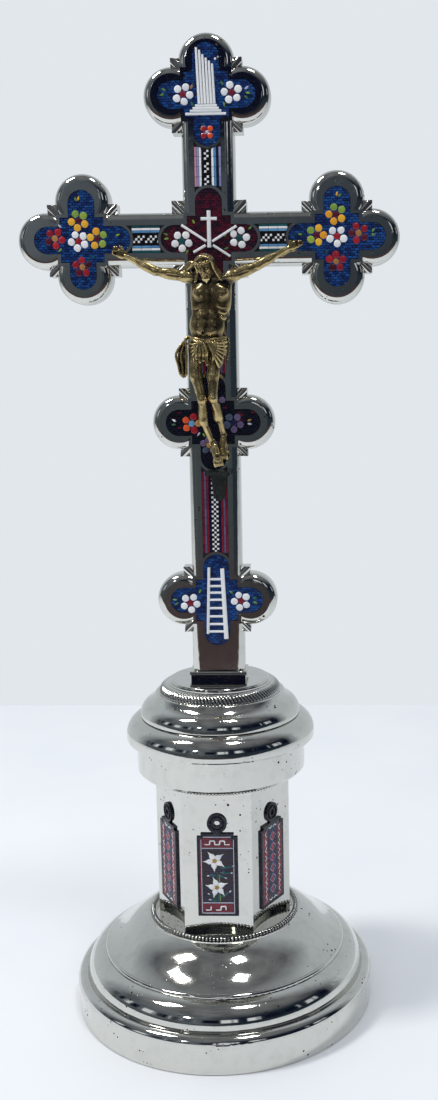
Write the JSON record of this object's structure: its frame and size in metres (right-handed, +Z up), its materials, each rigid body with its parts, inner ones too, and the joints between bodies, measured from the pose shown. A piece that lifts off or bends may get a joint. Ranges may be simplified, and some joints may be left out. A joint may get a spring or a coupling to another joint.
{
  "type": "altar cross",
  "caption": "Table crucifix in polished nickel with mosaic cells, trefoil arm ends and side medallions, on a domed cap, a hexagonal drum with mosaic plaques and a wide stepped round foot.",
  "frame": {"origin": "on the table, at the centre of the felt under the foot", "axes": "+Z up along the shaft, +X along the arms to the viewer's right, -Y out of the front of the cross"},
  "size_m": [0.1257, 0.1056, 0.3303],
  "materials": {
    "nickel": "polished nickel plate, lightly pitted",
    "bronze": "dark patinated bronze, rubbed bright on the high points",
    "tray": "dark nickel-plated pressing",
    "smalti_blue": "opaque glass mosaic, blue ground",
    "smalti_plum": "opaque glass mosaic, plum ground",
    "steel": "plain",
    "iron": "as cast",
    "felt": "short pile"
  },
  "bodies": {
    "root": {"felt_pad": "felt", "foot_cover": "steel", "foot_shell": "nickel", "foot_weight": "iron", "tie_rod": "steel", "tie_washer": "steel", "tie_nut": "steel", "foot_milled_ring": "nickel", "drum_tube": "nickel", "plaque_tray_1": "tray", "plaque_tray_2": "tray", "plaque_tray_3": "tray", "plaque_tray_4": "tray", "plaque_tray_5": "tray", "plaque_tray_6": "tray", "plaque_mosaic_1": "smalti_plum", "plaque_mosaic_2": "smalti_blue", "plaque_mosaic_3": "smalti_plum", "plaque_mosaic_4": "smalti_blue", "plaque_mosaic_5": "smalti_plum", "plaque_mosaic_6": "smalti_blue", "drum_milled_ring": "nickel", "cap_floor": "nickel", "cap_collar": "nickel", "cap_dome": "nickel", "cap_milled_band": "nickel", "cap_disc": "nickel", "cross_collar": "nickel", "cross_collar_lip": "nickel", "cross_frame": "nickel", "cross_back_plate": "nickel", "mosaic_top_end": "smalti_blue", "mosaic_left_end": "smalti_blue", "mosaic_right_end": "smalti_blue", "mosaic_centre": "smalti_plum", "mosaic_upper_medallion": "smalti_blue", "mosaic_lower_medallion": "smalti_blue", "mosaic_upper_strip": "smalti_plum", "mosaic_left_strip": "smalti_blue", "mosaic_right_strip": "smalti_blue", "mosaic_middle_strip": "smalti_plum", "mosaic_long_strip": "smalti_plum", "corpus": "bronze", "foot_rest": "bronze", "left_hand_nail": "bronze", "right_hand_nail": "bronze", "foot_nail": "bronze"}
  },
  "joints": []
}
